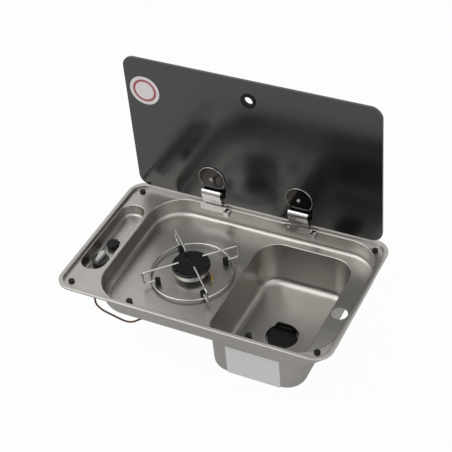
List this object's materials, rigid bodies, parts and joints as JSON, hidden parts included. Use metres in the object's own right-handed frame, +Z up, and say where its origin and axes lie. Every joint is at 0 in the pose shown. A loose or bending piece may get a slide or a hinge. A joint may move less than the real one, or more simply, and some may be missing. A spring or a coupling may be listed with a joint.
{
  "type": "hob and sink combination",
  "caption": "Pressed steel drop-in tray joining a gas hob with a wire pan support and a deep sink bowl, under a hinged smoked-glass lid, with a recessed gas knob and igniter.",
  "frame": {"origin": "centre of the rim footprint on the worktop plane, under the rim seal", "axes": "+X to the right along the width, +Y to the back where the lid is hinged, +Z up"},
  "size_m": [0.6, 0.36, 0.5342],
  "materials": {
    "satin_steel": "satin brushed stainless",
    "black_rubber": "matt moulded rubber",
    "cast_aluminium": "cast aluminium",
    "polished_aluminium": "turned and polished",
    "black_enamel": "gloss vitreous enamel",
    "zinc_steel": "plated",
    "brass": "machined",
    "copper": "drawn copper pipe",
    "white_ceramic": "glazed ceramic",
    "bright_wire": "bright plated wire",
    "chrome": "polished chrome",
    "black_plastic": "moulded",
    "silver_plastic": "satin silver",
    "grey_plastic": "moulded",
    "smoked_glass": "smoked toughened glass",
    "white_label": "printed film",
    "dark_chrome": "polished black chrome"
  },
  "bodies": {
    "tray": {"deck_pressing": "satin_steel", "hob_pan": "satin_steel", "sink_bowl": "satin_steel", "rim_seal": "black_rubber", "lid_bumpers": "black_rubber", "burner_cup": "cast_aluminium", "burner_base": "black_enamel", "burner_head": "polished_aluminium", "burner_cap": "black_enamel", "burner_screws": "zinc_steel", "gas_injector": "brass", "thermocouple_probe": "brass", "spark_insulator": "white_ceramic", "spark_pin": "zinc_steel", "pan_support": "bright_wire", "pan_support_feet": "black_rubber", "gas_tap_body": "brass", "tap_nut": "zinc_steel", "igniter_body": "black_plastic", "igniter_nut": "black_plastic", "gas_feed_pipe": "copper", "gas_inlet_pipe": "copper", "thermocouple_lead": "copper", "waste_flange": "satin_steel", "waste_seal": "black_rubber", "waste_body": "grey_plastic", "hinge_bracket_l": "chrome", "hinge_bracket_r": "chrome", "hinge_pin_l": "zinc_steel", "hinge_pin_r": "zinc_steel", "bracket_rivets": "chrome", "rating_label": "white_label"},
    "lid": {"lid_glass": "smoked_glass", "lid_grommet": "black_rubber", "lid_sticker": "white_label", "hinge_leaf_l": "dark_chrome", "hinge_leaf_r": "dark_chrome", "hinge_cover_l": "chrome", "hinge_cover_r": "chrome", "disc_screws": "chrome", "disc_backplates": "chrome"},
    "tap_push": {"tap_spindle": "zinc_steel"},
    "knob": {"control_knob": "black_plastic", "knob_pointer": "silver_plastic"},
    "button": {"igniter_button": "black_plastic"},
    "plug": {"sink_plug": "black_rubber"}
  },
  "joints": [
    {"name": "lid_hinge", "type": "hinge", "parent": "tray", "child": "lid", "pos_m": [0, 0.1712, 0.0072], "axis": [1, 0, 0], "range_deg": [0, 90]},
    {"name": "knob_push", "type": "slide", "parent": "tray", "child": "tap_push", "axis": [0, 0, -1], "range_m": [0, 0.003], "stiffness_N_per_m": 1500},
    {"name": "knob_turn", "type": "hinge", "parent": "tap_push", "child": "knob", "pos_m": [-0.259, -0.058, 0], "axis": [0, 0, 1], "range_deg": [0, 180]},
    {"name": "button_push", "type": "slide", "parent": "tray", "child": "button", "axis": [0, 0, -1], "range_m": [0, 0.004], "stiffness_N_per_m": 1000},
    {"name": "plug_lift", "type": "slide", "parent": "tray", "child": "plug", "axis": [0, 0, 1], "range_m": [0, 0.06]}
  ]
}
